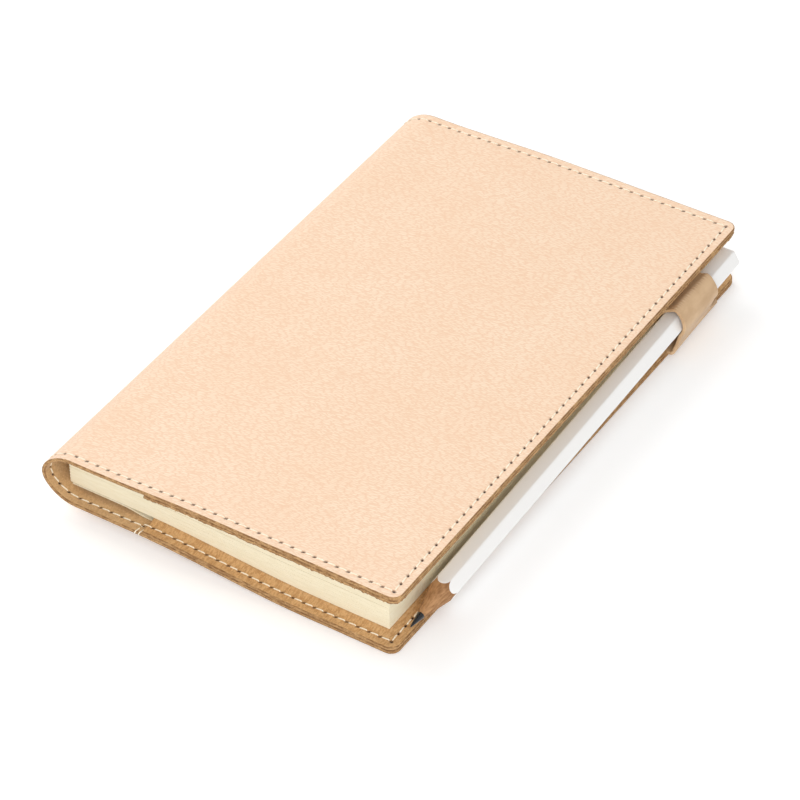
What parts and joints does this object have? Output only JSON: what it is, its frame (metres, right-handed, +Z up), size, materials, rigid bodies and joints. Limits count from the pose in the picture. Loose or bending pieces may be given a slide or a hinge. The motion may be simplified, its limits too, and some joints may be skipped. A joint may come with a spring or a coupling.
{
  "type": "notebook cover with pencil",
  "caption": "Sewn leather notebook cover lying closed, with a card-bound notebook in its two pockets and a pencil held in a loop at the fore edge.",
  "frame": {"origin": "middle of the overall footprint, on the plane the back cover lies on", "axes": "+X from the spine to the fore edge, +Y from tail to head, +Z up out of the back cover"},
  "size_m": [0.1192, 0.186, 0.0208],
  "materials": {
    "grain_leather": "pale natural goat leather with a fine grain, raw edges",
    "pocket_leather": "tan leather of the pocket flaps",
    "loop_leather": "smooth tan leather strap",
    "seam_thread": "waxed cream sewing thread",
    "page_paper": "cream writing paper, trimmed edges",
    "cover_card": "cream card",
    "binding_cloth": "open-weave binding cloth",
    "pencil_wood": "cedar, lacquered white on its six sides",
    "graphite": "polished graphite"
  },
  "bodies": {
    "back": {"outer_back_panel": "grain_leather", "back_pocket_flap": "pocket_leather", "back_board": "cover_card", "back_seam_thread": "seam_thread", "pages_lower": "page_paper", "spine_cloth_lower": "binding_cloth", "pen_loop": "loop_leather"},
    "spine_1": {"spine_strip_1": "grain_leather", "spine_thread_1": "seam_thread"},
    "spine_2": {"spine_strip_2": "grain_leather", "spine_thread_2": "seam_thread"},
    "spine_3": {"spine_strip_3": "grain_leather", "spine_thread_3": "seam_thread"},
    "front": {"outer_front_panel": "grain_leather", "front_pocket_flap": "pocket_leather", "front_board": "cover_card", "front_seam_thread": "seam_thread"},
    "pages": {"pages_upper": "page_paper", "spine_cloth_upper": "binding_cloth"},
    "pencil": {"pencil_barrel": "pencil_wood", "pencil_lead": "graphite"}
  },
  "joints": [
    {"name": "spine_bend_1", "type": "hinge", "parent": "back", "child": "spine_1", "pos_m": [-0.0531, 0, 0.00098], "axis": [0, -1, 0], "range_deg": [0, 45]},
    {"name": "spine_bend_2", "type": "hinge", "parent": "spine_1", "child": "spine_2", "pos_m": [-0.05862, 0, 0.0065], "axis": [0, -1, 0], "range_deg": [0, 45]},
    {"name": "spine_bend_3", "type": "hinge", "parent": "spine_2", "child": "spine_3", "pos_m": [-0.05862, 0, 0.0143], "axis": [0, -1, 0], "range_deg": [0, 45]},
    {"name": "spine_bend_4", "type": "hinge", "parent": "spine_3", "child": "front", "pos_m": [-0.0531, 0, 0.01982], "axis": [0, -1, 0], "range_deg": [0, 45]},
    {"name": "pages_fold", "type": "hinge", "parent": "back", "child": "pages", "pos_m": [-0.05469, 0, 0.0104], "axis": [0, -1, 0], "range_deg": [0, 180]},
    {"name": "pencil_slide", "type": "slide", "parent": "back", "child": "pencil", "axis": [0, 0.9994, 0.0336], "range_m": [0, 0.155]}
  ],
  "couplings": [
    {"joint": "spine_bend_2", "follows": "spine_bend_1", "ratio": 1},
    {"joint": "spine_bend_3", "follows": "spine_bend_1", "ratio": 1},
    {"joint": "spine_bend_4", "follows": "spine_bend_1", "ratio": 1},
    {"joint": "pages_fold", "follows": "spine_bend_1", "ratio": 4}
  ]
}
